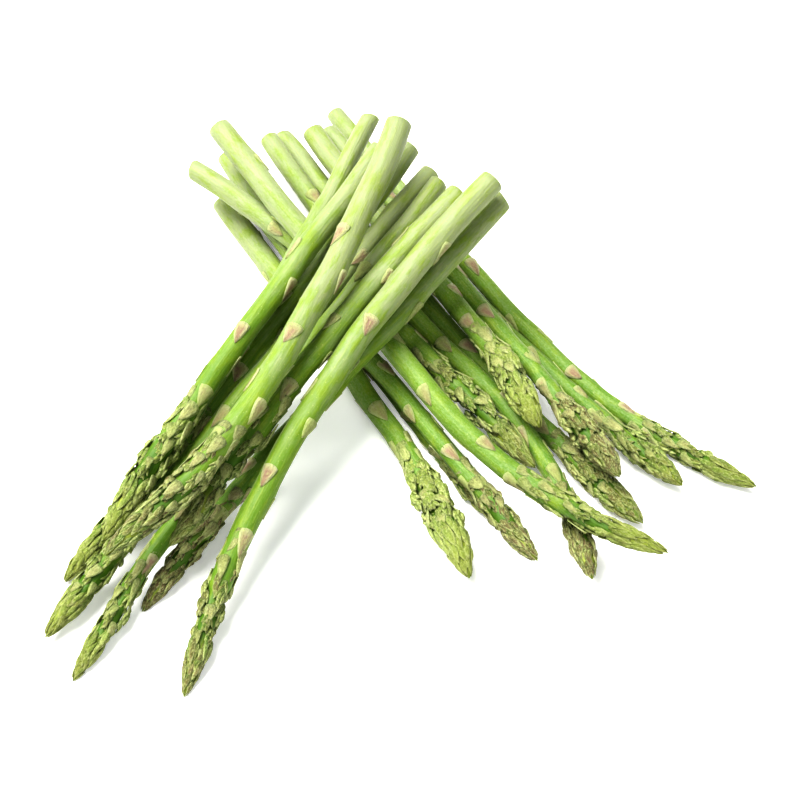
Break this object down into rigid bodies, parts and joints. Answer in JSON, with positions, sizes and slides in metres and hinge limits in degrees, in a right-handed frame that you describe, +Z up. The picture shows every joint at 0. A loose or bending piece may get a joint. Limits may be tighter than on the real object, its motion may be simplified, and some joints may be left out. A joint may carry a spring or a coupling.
{
  "type": "bundle of asparagus",
  "caption": "Loose bunch of fresh green asparagus spears lying in two crossed handfuls, tips fanned out to the front.",
  "frame": {"origin": "on the surface, under the middle of the bunch's bounding box", "axes": "+Z up from the surface, +Y towards the cut ends, -Y towards the tips, +X towards the lower handful's tips"},
  "size_m": [0.2395, 0.2611, 0.0712],
  "materials": {
    "bright_green": "satin",
    "pale_green": "satin",
    "deep_green": "satin",
    "olive_green": "satin"
  },
  "bodies": {
    "root": {"lower_spear_1": "bright_green", "lower_spear_2": "deep_green", "lower_spear_3": "olive_green", "lower_spear_4": "bright_green", "lower_spear_5": "olive_green", "lower_spear_6": "olive_green", "lower_spear_7": "bright_green", "lower_spear_8": "deep_green", "lower_spear_9": "deep_green", "lower_spear_10": "pale_green", "lower_spear_11": "pale_green", "upper_spear_1": "bright_green", "upper_spear_2": "pale_green", "upper_spear_3": "deep_green", "upper_spear_4": "pale_green", "upper_spear_5": "bright_green", "upper_spear_6": "bright_green", "upper_spear_7": "bright_green", "upper_spear_8": "bright_green", "upper_spear_9": "pale_green"}
  },
  "joints": []
}
